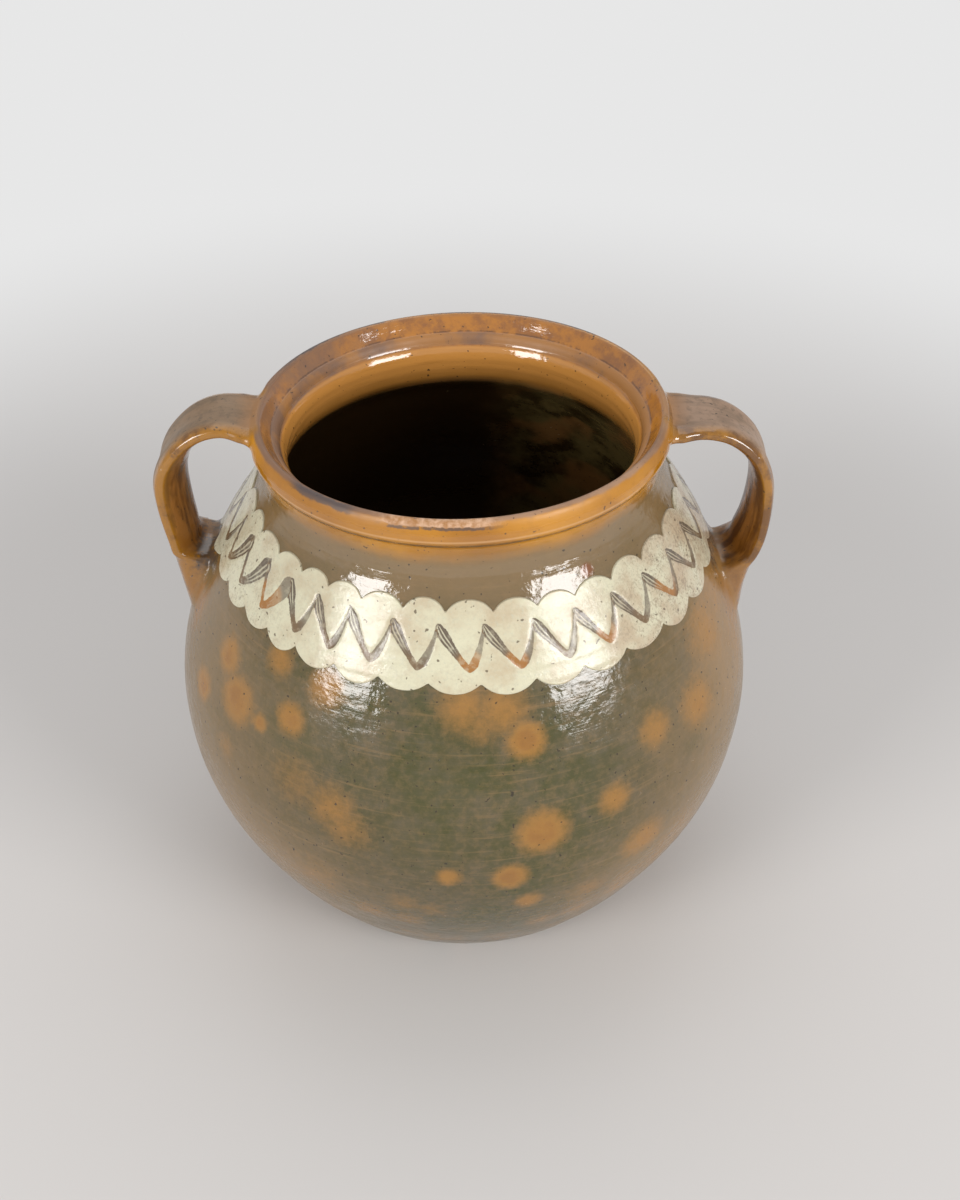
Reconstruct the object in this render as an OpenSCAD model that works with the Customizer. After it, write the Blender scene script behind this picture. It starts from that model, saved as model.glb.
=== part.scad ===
// Hand-thrown storage pot with a wide mouth, two strap handles and a seat for a lid in the rim.
// A band of raised slip with scalloped edges runs round the shoulder, and a zigzag is wiped
// through it. The whole pot is one fired piece.
// Millimetres, +Z up, origin at the middle of the base, handles along X.

/* [Body] */
// Height from the base to the crest of the lip
pot_h = 328; // [300:1:360]
// Diameter at the widest part of the belly
belly_d = 345; // [320:1:390]
// Height of the widest part of the belly
belly_z = 147; // [120:1:170]
// How full the shoulder is, from 1.6 for slack to 2.2 for full
shoulder_power = 1.8; // [1.6:0.05:2.2]
// How full the lower body is, from 1.7 for slack to 2.3 for full
lower_power = 2; // [1.7:0.05:2.3]
// Thickness of the thrown wall
wall_t = 8; // [6:0.5:10]

/* [Base] */
// Diameter of the flat face that the pot stands on
base_d = 208; // [170:1:230]
// Radius of the rounded edge round the base
base_round = 4; // [2:0.5:6]
// Thickness of the floor
floor_t = 11; // [8:0.5:15]
// How far the inside corner rises up the wall from the floor
corner_rise = 26; // [18:1:36]

/* [Neck and rim] */
// Diameter at the narrowest part of the neck
neck_d = 224; // [216:1:230]
// Depth of the narrowest part of the neck below the lip
neck_drop = 30; // [27:1:36]
// Radius of the hollow curve from the shoulder up to the collar
neck_round = 22; // [16:1:26]
// Diameter at the lower edge of the collar
collar_d = 234; // [232:1:240]
// Height of the collar from its groove to the crest of the lip
collar_h = 13; // [11:0.5:15]
// Depth of the groove under the collar
groove_t = 1.4; // [0.6:0.1:2]
// Diameter of the rim at the outside of the lip
rim_d = 230; // [228:1:232]
// Radius of the rounded lip
lip_round = 3; // [2:0.25:4]

/* [Seat for the lid] */
// Diameter where the funnel of the rim meets the seat
seat_d = 208; // [206:1:212]
// Depth of the seat's outer edge below the lip
seat_drop = 8.5; // [7:0.5:10]
// Diameter of the mouth at the inner edge of the seat
mouth_d = 198; // [192:1:200]
// Depth of the mouth's edge below the lip
mouth_drop = 18; // [16:0.5:20]

/* [Handles] */
// Width of each strap
strap_w = 42; // [30:1:48]
// Thickness of each strap
strap_t = 9; // [6:0.5:11]
// Distance over the outer faces of both handles
handle_span = 351; // [340:1:366]
// Depth of the straps' upper faces below the lip
handle_drop = 3; // [2.5:0.25:5]
// Radius of the upper bend, at the middle of the strap
bend_r = 38; // [30:1:42]
// Angle by which the strap leans in below its bend
lean = 13; // [8:1:18]
// Radius of the long curve down to the shoulder
drop_r = 165; // [120:5:200]
// Height where the outer face of each strap has run into the wall
foot_z = 190; // [180:1:200]
// How much wider than the strap the clay is smeared out on the body at its ends
flare_w = 18; // [4:1:26]
// Height over which clay fills the crotch under each handle
crotch_h = 12; // [4:0.5:16]
// Depth of the shallow channel down the middle of each strap
channel_t = 0.8; // [0:0.1:1.5]

/* [Slip band] */
// Number of scallops round the pot
scallops = 33; // [24:1:40]
// Thickness of the slip
slip_t = 0.8; // [0.3:0.1:1.2]
// Depth of the upper scallops' tips below the lip
band_drop = 43.5; // [42:0.5:50]
// Height of the band from its upper tips to its lower tips
band_h = 42; // [38:0.5:46]
// Height of one scallop from its notch to its tip
scallop_h = 5.5; // [3:0.5:7]
// Height of the wiped zigzag over its centre line
zigzag_h = 15; // [10:0.5:18]
// Height of the wiped line, measured straight up
wiped_h = 6; // [3:0.5:7]
// Sixths of each zigzag that its falling stroke takes
fall_sixths = 4; // [2:1:4]
// Turn of the pattern round the pot
band_turn = 1.4; // [-10:0.1:10]

/* [Hidden] */

glaze_olive = [0.40, 0.37, 0.27];
glaze_ochre = [0.66, 0.44, 0.18];
slip_cream = [0.87, 0.84, 0.70];

belly_r = belly_d / 2;
neck_r = neck_d / 2;
neck_z = pot_h - neck_drop;
rim_r = rim_d / 2;
collar_r = collar_d / 2;
groove_z = pot_h - collar_h;
curve_step = 8;
seam_turn = 100;
foot_count = 18;
foot_spread = 0.3;
root_sunk = 3;
tongue_t = 2.4;

// Where the rounded edge of the base runs into the wall
edge_angle = -45;
edge_end = [
    base_d / 2 + base_round * cos(edge_angle),
    base_round + base_round * sin(edge_angle)
];

// Angle from upright at which the shoulder runs into the neck
neck_angle = atan(shoulder_power * (belly_r - neck_r) / (neck_z - belly_z));
shoulder_r = neck_r + neck_round * (1 - cos(neck_angle));
shoulder_z = neck_z - neck_round * sin(neck_angle);

// Radius of the outside at a height between the base and the neck
function upper_share(z) = (z - belly_z) / (shoulder_z - belly_z);
function lower_share(z) = (belly_z - z) / (belly_z - edge_end[1]);
function outer_r(z) = z > belly_z
    ? belly_r - (belly_r - shoulder_r) * pow(upper_share(z), shoulder_power)
    : belly_r - (belly_r - edge_end[0]) * pow(lower_share(z), lower_power);

// Slope of the outside at that height, as a change of radius for each millimetre up
function outer_slope(z) = z > belly_z
    ? -(belly_r - shoulder_r) * shoulder_power
        * pow(upper_share(z), shoulder_power - 1) / (shoulder_z - belly_z)
    : (belly_r - edge_end[0]) * lower_power
        * pow(lower_share(z), lower_power - 1) / (belly_z - edge_end[1]);

// Point of the outside at a height, moved out square to the wall by a distance
function beside(z, out) =
    let (slope = outer_slope(z), len = sqrt(1 + slope * slope))
    [outer_r(z) + out / len, z - out * slope / len];

// Heights from one to another in even steps near the curve step, both ends kept
function heights(from, to) =
    let (count = ceil(abs(to - from) / curve_step))
    [for (i = [0 : count]) from + (to - from) * i / count];

function arc(middle, radius, from, to, count) =
    [for (i = [0 : count]) let (a = from + (to - from) * i / count)
        middle + radius * [cos(a), sin(a)]];

// Smooth curve from a to c that starts and ends in line with b, and the point at a share of it
function along(a, b, c, t) = a * (1 - t) * (1 - t) + b * 2 * t * (1 - t) + c * t * t;
function bend(a, b, c, count) = [for (i = [0 : count]) along(a, b, c, i / count)];

// Outside of the wall from the base up to the crest of the lip
collar_top_z = pot_h - lip_round - 1;
neck_top_angle = 28;
outside = concat(
    [[0, 0]],
    arc([base_d / 2, base_round], base_round, -90, edge_angle, 3),
    [for (z = heights(edge_end[1], belly_z)) if (z > edge_end[1]) [outer_r(z), z]],
    [for (z = heights(belly_z, shoulder_z)) if (z > belly_z) [outer_r(z), z]],
    [for (p = arc([neck_r + neck_round, neck_z], neck_round,
        180 + neck_angle, 180 - neck_top_angle, 8)) if (p[1] > shoulder_z + 0.01) p],
    [
        [collar_r - 2 * groove_t, groove_z - 1],
        [collar_r - 2 * groove_t, groove_z],
        [collar_r - groove_t / 2, groove_z + 0.8],
        [collar_r, groove_z + 2.4],
        [collar_r - 0.2, groove_z + 4.5],
        [rim_r, collar_top_z]
    ],
    arc([rim_r - lip_round, pot_h - lip_round], lip_round, 0, 135, 9)
);

// Inside of the wall from the lip down to the middle of the floor
inner_top_z = shoulder_z - 6;
inner_top = beside(inner_top_z, -wall_t);
mouth_edge = [mouth_d / 2, pot_h - mouth_drop];
throat_z = mouth_edge[1] - 5;
throat_meet_z = inner_top[1] + (inner_top[0] - mouth_edge[0]) / -outer_slope(inner_top_z);
corner_z = floor_t + corner_rise;
corner = beside(corner_z, -wall_t);
corner_meet_r = corner[0] - (corner[1] - floor_t) * outer_slope(corner_z);
corner_flat = 24;
inside = concat(
    [[seat_d / 2, pot_h - seat_drop]],
    bend(
        mouth_edge + 2 * [(seat_d - mouth_d) / 2, mouth_drop - seat_drop] / mouth_drop,
        mouth_edge, [mouth_edge[0], mouth_edge[1] - 2.5], 3
    ),
    bend([mouth_edge[0], throat_z], [mouth_edge[0], throat_meet_z], inner_top, 6),
    [for (z = heights(inner_top_z, belly_z)) if (z < inner_top_z) beside(z, -wall_t)],
    [for (z = heights(belly_z, corner_z)) if (z < belly_z) beside(z, -wall_t)],
    [for (p = bend(corner, [corner_meet_r, floor_t], [corner_meet_r - corner_flat, floor_t], 6))
        if (p[1] < corner[1]) p],
    [[0, floor_t]]
);

// Joins the points of neighbouring sections, which all have the same count of points
function skin(sections, points, closed) =
    [for (j = [0 : sections - (closed ? 1 : 2)], i = [0 : points - 1])
        let (
            a = j * points + i,
            b = j * points + (i + 1) % points,
            c = ((j + 1) % sections) * points + (i + 1) % points,
            d = ((j + 1) % sections) * points + i
        )
        each [[a, b, c], [a, c, d]]];

module thrown_body() {
    color(glaze_olive) rotate([0, 0, seam_turn])
        rotate_extrude($fn = 120) polygon(concat(outside, inside));
}

// Middle line of the right-hand strap in the XZ plane, as [x, z, angle of its outer face]
strap_top_z = pot_h - handle_drop - strap_t / 2;
bend_x = handle_span / 2 - strap_t / 2 - bend_r;
bend_z = strap_top_z - bend_r;
root_x = rim_r - lip_round - 1;
lean_x = bend_x + bend_r - drop_r * (1 - cos(lean));
lean_z = bend_z - drop_r * sin(lean);
strap_line = concat(
    [for (i = [0 : 3]) [root_x + (bend_x - root_x) * i / 4, strap_top_z, 90]],
    [for (i = [0 : 9]) let (a = 90 - 10 * i)
        [bend_x + bend_r * cos(a), bend_z + bend_r * sin(a), a]],
    [for (i = [1 : 4]) let (a = -lean * i / 4)
        [bend_x + bend_r - drop_r * (1 - cos(a)), bend_z + drop_r * sin(a), a]]
);
strap_count = len(strap_line);

// Foot of the strap: its outer face runs down into the wall, and the clay behind it fills in
// to the shoulder over the height of the crotch
foot_start = [lean_x + strap_t / 2 * cos(lean), lean_z - strap_t / 2 * sin(lean)];
foot_end = [outer_r(foot_z) - root_sunk, foot_z];
foot_middle_z = (foot_start[1] + foot_z) / 2;
foot_middle = [foot_start[0] - (foot_start[1] - foot_middle_z) * tan(lean), foot_middle_z];
foot_face = [for (i = [0 : foot_count])
    along(foot_start, foot_middle, foot_end, pow(i / foot_count, 1.3))];
function clipped(t) = min(1, max(0, t));
function eased(t) = let (s = clipped(t)) s * s * (3 - 2 * s);
function foot_back(p) =
    let (filled = 1 - sqrt(1 - pow(clipped((lean_z - p[1]) / crotch_h), 2)))
    (p[0] - strap_t) * (1 - filled) + (outer_r(p[1]) - root_sunk - 1) * filled;

// How far the foot falls back beside its middle, with the round wall and to a rounded end
function fall_back(along_y, z) =
    outer_r(z) - sqrt(pow(outer_r(z), 2) - along_y * along_y)
    + tongue_t * pow(min(1, 2 * abs(along_y) / strap_w), 2);

// Outline of the strap across its length, as [along Y, out from its middle]: flat faces with
// rounded edges, and a shallow channel down the outer face. Where it grows out of the body, its
// sides run out in a hollow curve, and the width given is that of the outer face.
edge_points = 7;
face_points = 4;
section_points = 2 * (edge_points + face_points);
function smeared_out(p, half_t, run_out) =
    [p[0] * (1 + run_out * pow((half_t - p[1]) / (2 * half_t), 2)), p[1]];
function strap_section(width, half_t, run_out) =
    let (edge_r = min(half_t, strap_t / 2), flat = width / 2 - edge_r)
    [for (p = strap_outline(flat, edge_r, half_t)) smeared_out(p, half_t, run_out / width)];
function strap_outline(flat, edge_r, half_t) =
    concat(
        [for (i = [0 : edge_points - 1]) let (a = 90 - 180 * i / (edge_points - 1))
            [flat + edge_r * cos(a), sin(a) * half_t]],
        [for (i = [1 : face_points]) [flat - 2 * flat * i / (face_points + 1), -half_t]],
        [for (i = [0 : edge_points - 1]) let (a = 270 - 180 * i / (edge_points - 1))
            [-flat + edge_r * cos(a), sin(a) * half_t]],
        [for (i = [1 : face_points]) let (y = 2 * flat * i / (face_points + 1) - flat)
            [y, half_t - channel_t * cos(90 * y / flat)]]
    );

module strap_handle() {
    root_rings = 4;
    rings = concat(
        [for (i = [0 : strap_count - 1]) let (
            line = strap_line[i],
            width = strap_w + flare_w / 2 * pow(max(0, 1 - i / root_rings), 2)
        ) [for (p = strap_section(width, strap_t / 2, 0))
            [line[0] + p[1] * cos(line[2]), p[0], line[1] + p[1] * sin(line[2])]]],
        [for (i = [1 : foot_count]) let (
            face = foot_face[i],
            back = foot_back(face),
            smeared = eased(i / foot_count),
            width = strap_w + foot_spread * flare_w * smeared,
            run_out = flare_w * eased((lean_z - face[1]) / (lean_z - foot_z))
        ) [for (p = strap_section(width, (face[0] - back) / 2, run_out))
            [(face[0] + back) / 2 + p[1] - smeared * fall_back(p[0], face[1]), p[0], face[1]]]]
    );
    last = (len(rings) - 1) * section_points;
    ends = [
        [for (k = [section_points - 1 : -1 : 0]) k],
        [for (k = [0 : section_points - 1]) last + k]
    ];
    polyhedron(
        [for (ring = rings) each ring],
        concat(skin(len(rings), section_points, false), ends)
    );
}

module handles() {
    color(glaze_ochre) for (side = [0, 180]) rotate([0, 0, side]) strap_handle();
}

// Slip band: the heights of its edges and of the wiped zigzag at a share of one scallop
band_top = pot_h - band_drop;
band_low = band_top - band_h;
columns = 6;
fall_share = fall_sixths / columns;
function lobe(share) = sqrt(1 - pow(2 * abs(share - round(share)), 2) * 0.96);
function top_edge(share) = band_top - scallop_h * (1 - lobe(share));
function low_edge(share) = band_low + scallop_h * (1 - lobe(share));
function zigzag(share) =
    let (s = share - floor(share), middle = (band_top + band_low) / 2)
    middle + zigzag_h * (s < fall_share
        ? 0.5 - s / fall_share
        : (s - fall_share) / (1 - fall_share) - 0.5);

// One ribbon of slip round the pot between two edges, sunk a little into the wall
module ribbon(upper, lower) {
    count = scallops * columns;
    sunk = 1.2;
    rows = [for (j = [0 : count - 1]) let (
        turn = 360 * j / count + band_turn - 90,
        share = j / columns,
        high = upper(share),
        low = lower(share),
        section = [
            beside(high, slip_t), beside(high, -sunk), beside(low, -sunk),
            beside(low, slip_t), beside((high + low) / 2, slip_t)
        ]
    ) [for (p = section) [p[0] * cos(turn), p[0] * sin(turn), p[1]]]];
    polyhedron([for (row = rows) each row], skin(count, 5, true));
}

module slip_band() {
    color(slip_cream) {
        ribbon(function (s) top_edge(s), function (s) zigzag(s) + wiped_h / 2);
        ribbon(function (s) zigzag(s) - wiped_h / 2, function (s) low_edge(s));
    }
}

module pot() {
    thrown_body();
    handles();
    slip_band();
}

pot();
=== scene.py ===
# Two-handled glazed storage pot: the thrown body with its handles, the slip band drawn round
# its shoulder, and the glaze over both. Metres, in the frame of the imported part.
import math
from functools import partial
import bmesh
import bpy
import numpy as np
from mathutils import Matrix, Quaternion, Vector
from mathutils.kdtree import KDTree


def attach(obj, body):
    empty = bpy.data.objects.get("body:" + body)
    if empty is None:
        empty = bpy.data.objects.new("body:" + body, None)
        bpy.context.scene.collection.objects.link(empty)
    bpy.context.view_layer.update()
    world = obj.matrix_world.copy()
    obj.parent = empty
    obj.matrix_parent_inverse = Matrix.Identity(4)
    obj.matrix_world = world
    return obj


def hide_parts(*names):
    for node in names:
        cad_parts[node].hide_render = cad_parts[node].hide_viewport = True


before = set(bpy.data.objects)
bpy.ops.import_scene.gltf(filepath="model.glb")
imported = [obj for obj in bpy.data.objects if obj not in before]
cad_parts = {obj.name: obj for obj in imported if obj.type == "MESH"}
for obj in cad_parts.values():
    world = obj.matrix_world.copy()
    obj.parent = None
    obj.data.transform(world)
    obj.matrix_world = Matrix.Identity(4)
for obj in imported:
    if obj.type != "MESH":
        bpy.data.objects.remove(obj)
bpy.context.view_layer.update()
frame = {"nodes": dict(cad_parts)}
mm = 0.001
print("frame loaded:", ", ".join(frame["nodes"]))


# The camera looks down at the pot from the front
cameraLook = {
    "place": (-0.0007, -0.6946, 0.7394),
    "pitch": 38.28,     # degrees down
    "yaw": 0.849,       # degrees towards +X
    "roll": 0.178,
    "lens": 43.55,
    "sensor": 36,
}


def makeCamera(look):
    data = bpy.data.cameras.new("potCamera")
    data.lens, data.sensor_width = look["lens"], look["sensor"]
    camera = bpy.data.objects.new("potCamera", data)
    bpy.context.collection.objects.link(camera)
    yaw, pitch = math.radians(look["yaw"]), math.radians(look["pitch"])
    ahead = Vector((math.sin(yaw) * math.cos(pitch), math.cos(yaw) * math.cos(pitch), -math.sin(pitch)))
    turn = ahead.to_track_quat("-Z", "Y") @ Quaternion((0, 0, 1), math.radians(look["roll"]))
    camera.location = look["place"]
    camera.rotation_euler = turn.to_euler()
    bpy.context.scene.camera = camera


makeCamera(cameraLook)
print("camera placed")


# Short ways to build node trees
def put(tree, kind, sockets=None, **settings):
    node = tree.nodes.new(kind)
    for key, value in settings.items():
        setattr(node, key, value)
    for key, value in (sockets or {}).items():
        if isinstance(value, bpy.types.NodeSocket):
            tree.links.new(value, node.inputs[key])
        else:
            node.inputs[key].default_value = value
    return node


def compute(operation, *terms):
    tree = next(term.id_data for term in terms if isinstance(term, bpy.types.NodeSocket))
    return put(tree, "ShaderNodeMath", dict(enumerate(terms)), operation=operation).outputs[0]


def chained(operation):
    def build(total, *others):
        for term in others:
            total = compute(operation, total, term)
        return total
    return build


plus, minus, times = chained("ADD"), chained("SUBTRACT"), chained("MULTIPLY")
over, most, least = chained("DIVIDE"), chained("MAXIMUM"), chained("MINIMUM")


def rest(share):
    return minus(1.0, share)


def vectorMath(operation, first, second=(0, 0, 0)):
    terms = {0: first, 3 if operation == "SCALE" else 1: second}
    node = put(first.id_data, "ShaderNodeVectorMath", terms, operation=operation)
    return node.outputs["Value" if operation in ("DISTANCE", "LENGTH") else "Vector"]


def ramp(value, low, high, toLow=0.0, toHigh=1.0):
    terms = {0: value, 1: low, 2: high, 3: toLow, 4: toHigh}
    return put(value.id_data, "ShaderNodeMapRange", terms, interpolation_type="SMOOTHSTEP").outputs[0]


def noise(place, scale, detail, rough, seed):
    terms = {"Vector": place, "W": seed, "Scale": scale, "Detail": detail, "Roughness": rough}
    return put(place.id_data, "ShaderNodeTexNoise", terms, noise_dimensions="4D").outputs[0]


def grainy(place, scale, detail, rough, seed):
    moved = vectorMath("ADD", place, (seed, 2 * seed, 3 * seed))
    terms = {"Vector": moved, "Scale": scale, "Detail": detail, "Roughness": rough}
    return put(place.id_data, "ShaderNodeTexNoise", terms, noise_dimensions="3D").outputs[0]


def joinXyz(tree, x, y, z):
    return put(tree, "ShaderNodeCombineXYZ", {0: x, 1: y, 2: z}).outputs[0]


def splitXyz(place):
    return put(place.id_data, "ShaderNodeSeparateXYZ", {0: place}).outputs


def startTree(owner):
    owner.use_nodes = True
    owner.node_tree.nodes.clear()
    return owner.node_tree


def newGeometryTree(name, sizes):
    kinds = {int: "Int", float: "Float", bpy.types.Object: "Object", bpy.types.Material: "Material"}
    tree = bpy.data.node_groups.new(name, "GeometryNodeTree")
    tree.interface.new_socket("Geometry", in_out="INPUT", socket_type="NodeSocketGeometry")
    tree.interface.new_socket("Geometry", in_out="OUTPUT", socket_type="NodeSocketGeometry")
    for label, value in sizes.items():
        tree.interface.new_socket(label, in_out="INPUT", socket_type="NodeSocket" + kinds[type(value)])
    return tree, put(tree, "NodeGroupInput").outputs


def endTree(tree, geometry, material):
    smooth = put(tree, "GeometryNodeSetShadeSmooth", {0: geometry})
    whole = put(tree, "GeometryNodeRealizeInstances", {0: smooth.outputs[0]})
    dressed = put(tree, "GeometryNodeSetMaterial", {0: whole.outputs[0], 2: material})
    put(tree, "NodeGroupOutput", {0: dressed.outputs[0]})


def coordinates(mesh, kind="co"):
    flat = np.empty(len(mesh.vertices) * 3)
    mesh.vertices.foreach_get(kind, flat)
    return flat.reshape(-1, 3)


def setCoordinates(mesh, places):
    mesh.vertices.foreach_set("co", places.ravel())
    mesh.update()


def storeValues(mesh, **columns):
    for name, values in columns.items():
        column = mesh.attributes.new(name, "FLOAT", "POINT")
        column.data.foreach_set("value", np.asarray(values, dtype=np.float32))


def travel(line):
    return np.concatenate([[0], np.cumsum(np.linalg.norm(np.diff(line[:, :2], axis=0), axis=1))])


def directions(line):
    ahead = np.gradient(line[:, :2], axis=0)
    return ahead / np.linalg.norm(ahead, axis=1)[:, None]


def addObject(name, data):
    holder = bpy.data.objects.new(name, data)
    bpy.context.collection.objects.link(holder)
    return holder


def searchTree(places):
    tree = KDTree(len(places))
    for k, place in enumerate(places):
        tree.insert(place, k)
    tree.balance()
    return tree


def grow(makeTree, form, points, **columns):
    tree = makeTree(form)
    chain = bpy.data.meshes.new(tree.name + "Line")
    chain.from_pydata([tuple(p) for p in points], [(i, i + 1) for i in range(len(points) - 1)], [])
    storeValues(chain, **columns)
    draft = addObject(tree.name + "Draft", chain)
    modifier = draft.modifiers.new("grow", "NODES")
    modifier.node_group = tree
    for item in tree.interface.items_tree:
        if item.item_type == "SOCKET" and item.name in form["sizes"]:
            modifier[item.identifier] = form["sizes"][item.name]
    bpy.context.view_layer.update()
    ready = draft.evaluated_get(bpy.context.evaluated_depsgraph_get())
    mesh = bpy.data.meshes.new_from_object(ready)
    mesh.name = tree.name
    bpy.data.objects.remove(draft)
    bpy.data.meshes.remove(chain)
    return mesh


def smoothstep(values, low, high):
    share = np.clip((np.asarray(values, dtype=float) - low) / (high - low), 0, 1)
    return share * share * (3 - 2 * share)


def drawLine(points, perStep=16):
    points = np.asarray(points, dtype=float)
    padded = np.vstack([2 * points[0] - points[1], points, 2 * points[-1] - points[-2]])
    t = np.linspace(0, 1, perStep, endpoint=False)[:, None]
    pieces = []
    for a, b, c, d in zip(padded, padded[1:], padded[2:], padded[3:]):
        pieces.append(0.5 * (2 * b + (c - a) * t + (2 * a - 5 * b + 4 * c - d) * t ** 2
                             + (3 * b - a - 3 * c + d) * t ** 3))
    return np.vstack([*pieces, points[-1:]])


potGlaze = bpy.data.materials.new("potGlaze")
slipGlaze = bpy.data.materials.new("slipGlaze")

# The thrown body: points of its wall as radius, height and spacing in millimetres, from the
# middle of the base out, up the outside, over the lip and down the inside to the floor
bodyForm = {
    "underside": [
        (0, 0, 16), (40, 0, 16), (80, 0, 12), (98, 0, 4), (103, 0.05, 1.5), (105.6, 0.5, 1.2),
        (107.2, 1.7, 1.4), (109, 3.9, 2.4)],
    "outside": [
        (116.4, 11, 3.2), (124.1, 20, 3.2), (137.5, 40, 3.2), (148.9, 60, 3.2), (158.6, 80, 3.2),
        (165.8, 100, 3.2), (170.4, 120, 3.2), (172.5, 142, 3.2), (171.9, 160, 3.2), (168.6, 180, 3.2),
        (162.5, 200, 3.2), (154.3, 220, 3.0), (144.5, 240, 2.8), (132.9, 260, 2.8), (119.8, 280, 2.4),
        (115.4, 287.5, 2.0), (112.8, 294, 1.8), (112.0, 300, 1.6)],
    "collar": [
        (112.4, 306, 1.4), (113.6, 310.6, 1.1), (114.5, 312.8, 0.8), (115.2, 313.7, 0.7),
        (116.3, 315.2, 0.8), (117.0, 317.2, 1.0), (116.9, 319.6, 1.1), (116.2, 323, 1.1),
        (115.3, 325.8, 1.0), (114.1, 327.6, 0.9)],
    "funnel": [
        (112.6, 328.4, 0.8), (111.3, 328.2, 0.8), (110, 326.9, 0.8), (108.3, 324.3, 0.9),
        (106.6, 321.6, 0.8), (105.5, 320, 0.5), (104.9, 319.3, 0.4), (104.1, 318.9, 0.5),
        (102.9, 318.1, 0.8), (101.8, 316.4, 0.9), (101.1, 314.3, 0.8), (100.6, 313, 0.5),
        (100.0, 312.1, 0.5), (99.2, 310.8, 0.8), (98.1, 308.4, 1.0), (97.5, 305.8, 1.2), (97.4, 302.5, 1.6),
        (98.1, 297.5, 2.0), (100.2, 290.5, 2.6), (104, 283.5, 3.0)],
    "wall": 8.0,
    "insideFrom": 271,
    "insideTo": 40,
    "insidePoints": 14,
    "insideSpacing": 8.5,
    "floor": [(118, 24, 6), (104, 13.5, 6), (88, 11.2, 8), (60, 11, 14), (30, 11, 15), (0, 11, 15)],
    "sizes": {
        "Columns": 330,
        "Wobble": 0.9 * mm,         # how far the wall wanders from a true round
        "Ring Height": 0.16 * mm,   # throwing rings
        "Ring Spacing": 6.1 * mm,
        "Lift Right": 2.4 * mm,     # the rim stands higher on the right
        "Lift Front": 1.5 * mm,     # and at the front
        "Lean": 1.4 * mm,           # the rim's middle lies to the left of the base's
        "Seed": 3.0,
        "Material": potGlaze,
    },
    "rimRadius": 0.115,
    "tilting": (0.235, 0.32),   # heights between which the tilt sets in, and the lean
    "leaning": (0.26, 0.315),
    "ringsFromBase": (0.006, 0.03),     # and the rings, which fade out again at the lip
    "ringsToLip": (0.318, 0.3),
    "evenBase": 0.012,          # height and radius under which the wobble dies away
    "evenMiddle": 0.08,
    "merge": 0.02 * mm,
}


def wallLine(form):
    outer = form["underside"] + form["outside"] + form["collar"] + form["funnel"]
    inner = []
    guide = drawLine([p[:2] for p in form["outside"]])
    ahead = directions(guide)
    offset = guide + form["wall"] * np.stack([-ahead[:, 1], ahead[:, 0]], axis=1)
    for height in np.linspace(form["insideFrom"], form["insideTo"], form["insidePoints"]):
        nearest = offset[np.argmin(abs(offset[:, 1] - height))]
        inner.append((nearest[0], nearest[1], form["insideSpacing"]))
    line = drawLine(outer + inner + form["floor"], 24)
    line[:, 0] = np.maximum(line[:, 0], 0)
    gaps = np.linalg.norm(np.diff(line[:, :2], axis=0), axis=1)
    steps = np.concatenate([[0], np.cumsum(gaps / np.maximum((line[1:, 2] + line[:-1, 2]) / 2, 0.3))])
    stops = np.linspace(0, steps[-1], round(steps[-1]) + 1)
    radius = np.interp(stops, steps, line[:, 0])
    height = np.interp(stops, steps, line[:, 1])
    radius[0] = radius[-1] = 0
    return np.stack([radius, height], axis=1)


def gridPlace(tree, perColumn):
    index = put(tree, "GeometryNodeInputIndex").outputs[0]
    return compute("FLOOR", over(index, perColumn)), compute("MODULO", index, perColumn)


def bodyTree(form):
    tree, given = newGeometryTree("thrownBody", form["sizes"])
    line = given["Geometry"]
    rows = put(tree, "GeometryNodeAttributeDomainSize", {0: line}).outputs[0]
    grid = put(tree, "GeometryNodeMeshGrid", {2: plus(given["Columns"], 1.0), 3: rows})
    column, row = gridPlace(tree, rows)
    point = put(tree, "GeometryNodeSampleIndex",
                {0: line, 1: put(tree, "GeometryNodeInputPosition").outputs[0], 2: row},
                data_type="FLOAT_VECTOR").outputs[0]
    radius, _, height = splitXyz(point)
    angle = times(over(column, given["Columns"]), math.tau)
    across, along = compute("SINE", angle), compute("COSINE", angle)
    place = joinXyz(tree, times(across, radius), times(along, radius, -1.0), height)

    # wobble and throwing rings, fading out at the base's edge, at the lip and in the middle
    sway = minus(noise(place, 4.5, 1.5, 0.5, given["Seed"]), 0.5)
    drift = noise(place, 9.0, 1.0, 0.5, plus(given["Seed"], 7.0))
    turns = times(over(height, given["Ring Spacing"]), math.tau)
    rings = compute("SINE", plus(turns, times(drift, 9.0)))
    fade = times(ramp(height, *form["ringsFromBase"]), ramp(height, *form["ringsToLip"]))
    push = plus(times(sway, given["Wobble"]), times(rings, given["Ring Height"], fade))
    push = times(push, ramp(height, 0.0, form["evenBase"]), ramp(radius, 0.0, form["evenMiddle"]))
    x = times(across, plus(radius, push))
    y = times(along, plus(radius, push), -1.0)

    # the rim tilts and leans
    tilt = minus(times(x, over(given["Lift Right"], form["rimRadius"])),
                 times(y, over(given["Lift Front"], form["rimRadius"])))
    z = plus(height, times(tilt, ramp(height, *form["tilting"])))
    x = minus(x, times(given["Lean"], ramp(height, *form["leaning"])))
    placed = put(tree, "GeometryNodeSetPosition", {0: grid.outputs[0], 2: joinXyz(tree, x, y, z)})
    closed = put(tree, "GeometryNodeMergeByDistance", {0: placed.outputs[0], 2: form["merge"]})
    endTree(tree, closed.outputs[0], given["Material"])
    return tree


wallPoints = wallLine(bodyForm)
bodyMesh = grow(bodyTree, bodyForm, [(r * mm, 0, z * mm) for r, z in wallPoints])
print("body thrown:", len(wallPoints), "rows,", len(bodyMesh.polygons), "faces")


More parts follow.
